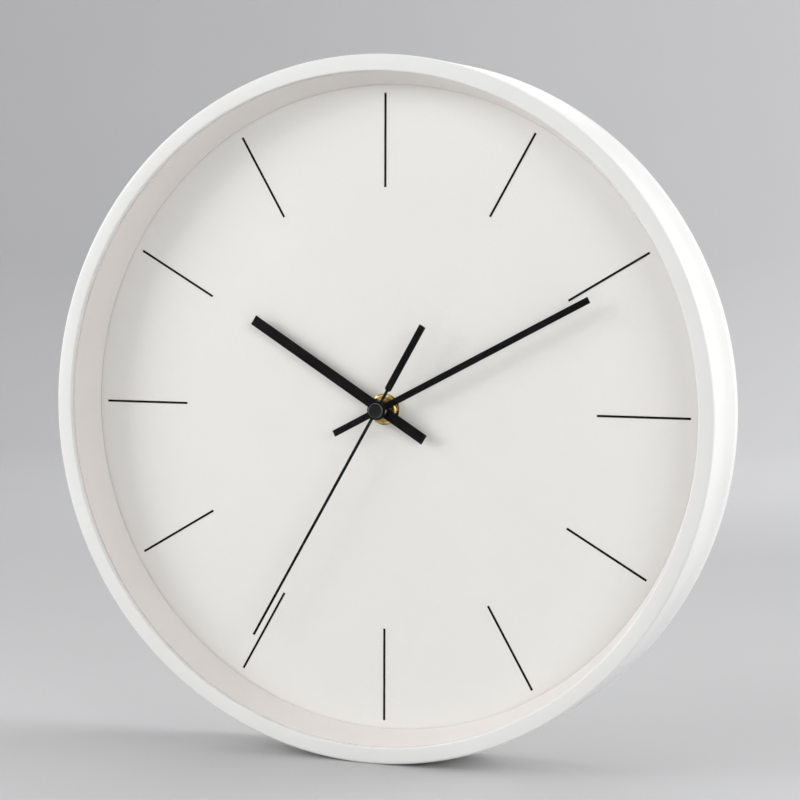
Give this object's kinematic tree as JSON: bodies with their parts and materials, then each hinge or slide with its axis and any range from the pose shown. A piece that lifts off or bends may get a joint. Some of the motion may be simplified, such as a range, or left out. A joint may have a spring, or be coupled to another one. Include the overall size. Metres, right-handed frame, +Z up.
{
  "type": "wall clock",
  "caption": "Round wall clock with a plain white deep rim, flat lens, bar markers, slim black hands and a battery quartz movement behind the dial.",
  "frame": {"origin": "on the axis of the hands, in the plane of the case's rear rim, which is the wall", "axes": "+Y points into the wall along the hands' axis, the dial faces -Y, and +Z is up, towards twelve"},
  "size_m": [0.3, 0.038, 0.3],
  "materials": {
    "case_plastic": "semi-gloss",
    "inner_ring_plastic": "satin",
    "clear_lens": "polished",
    "dial_sheet": "satin",
    "black_ink": "satin",
    "hand_metal": "satin",
    "hub_plastic": "satin",
    "brass": "polished",
    "cover_plastic": "moulded",
    "movement_plastic": "moulded",
    "gear_plastic": "moulded",
    "bobbin_plastic": "moulded",
    "steel": "brushed",
    "screw_steel": "plated",
    "magnet": "sintered",
    "copper_wire": "wound",
    "board": "solder mask",
    "chip_resin": "potted",
    "contact_metal": "plated",
    "cell_jacket": "printed film"
  },
  "bodies": {
    "case": {"case_ring": "case_plastic", "lens": "clear_lens", "inner_ring": "inner_ring_plastic", "dial_plate": "dial_sheet", "hour_markers": "black_ink", "spacer_ring": "cover_plastic", "back_cover": "cover_plastic", "back_cover_screws": "screw_steel", "brass_washer": "brass", "brass_nut": "brass", "threaded_bush": "brass", "movement_case": "movement_plastic", "movement_cover": "movement_plastic", "train_bridge": "gear_plastic", "stator": "steel", "coil_core": "steel", "coil_bobbin": "bobbin_plastic", "coil_winding": "copper_wire", "circuit_board": "board", "quartz_crystal": "steel", "timing_chip": "chip_resin", "contact_positive": "contact_metal", "contact_negative": "contact_metal"},
    "second_hand": {"second_hand": "hand_metal", "second_hand_cap": "hub_plastic", "second_wheel": "gear_plastic", "second_arbor": "steel"},
    "minute_hand": {"minute_hand": "hand_metal", "cannon_pinion": "gear_plastic", "centre_wheel": "gear_plastic"},
    "hour_hand": {"hour_hand": "hand_metal", "hour_wheel": "gear_plastic"},
    "third_wheel": {"third_wheel": "gear_plastic", "third_arbor": "steel"},
    "intermediate_wheel": {"intermediate_wheel": "gear_plastic", "intermediate_arbor": "steel"},
    "rotor": {"rotor_pinion": "gear_plastic", "rotor_magnet": "magnet"},
    "minute_works": {"minute_works_wheel": "gear_plastic"},
    "setting_knob": {"setting_knob": "movement_plastic", "setting_wheel": "gear_plastic"},
    "battery": {"battery_cell": "cell_jacket", "battery_terminal": "contact_metal"}
  },
  "joints": [
    {"name": "second_hand_turn", "type": "hinge", "parent": "case", "child": "second_hand", "pos_m": [0, 0, 0], "axis": [0, 1, 0], "continuous": true},
    {"name": "minute_hand_turn", "type": "hinge", "parent": "case", "child": "minute_hand", "pos_m": [0, 0, 0], "axis": [0, 1, 0], "continuous": true},
    {"name": "hour_hand_turn", "type": "hinge", "parent": "case", "child": "hour_hand", "pos_m": [0, 0, 0], "axis": [0, 1, 0], "continuous": true},
    {"name": "third_wheel_turn", "type": "hinge", "parent": "case", "child": "third_wheel", "pos_m": [-0.00721, 0, 0.00721], "axis": [0, 1, 0], "continuous": true},
    {"name": "intermediate_wheel_turn", "type": "hinge", "parent": "case", "child": "intermediate_wheel", "pos_m": [0.00909, 0, 0.00525], "axis": [0, 1, 0], "continuous": true},
    {"name": "rotor_turn", "type": "hinge", "parent": "case", "child": "rotor", "pos_m": [0.01149, 0, 0.01183], "axis": [0, 1, 0], "continuous": true},
    {"name": "minute_works_turn", "type": "hinge", "parent": "case", "child": "minute_works", "pos_m": [-0.0075, 0, 0], "axis": [0, 1, 0], "continuous": true},
    {"name": "setting_knob_turn", "type": "hinge", "parent": "case", "child": "setting_knob", "pos_m": [-0.01543, 0, -0.0037], "axis": [0, 1, 0], "continuous": true},
    {"name": "battery_lift", "type": "slide", "parent": "case", "child": "battery", "axis": [0, 1, 0], "range_m": [0, 0.02]}
  ],
  "couplings": [
    {"joint": "minute_hand_turn", "follows": "second_hand_turn", "ratio": 0.016667},
    {"joint": "hour_hand_turn", "follows": "second_hand_turn", "ratio": 0.0013889},
    {"joint": "third_wheel_turn", "follows": "second_hand_turn", "ratio": -0.13333},
    {"joint": "intermediate_wheel_turn", "follows": "second_hand_turn", "ratio": -5},
    {"joint": "rotor_turn", "follows": "second_hand_turn", "ratio": 30},
    {"joint": "minute_works_turn", "follows": "second_hand_turn", "ratio": -0.0055556},
    {"joint": "setting_knob_turn", "follows": "second_hand_turn", "ratio": 0.01}
  ]
}
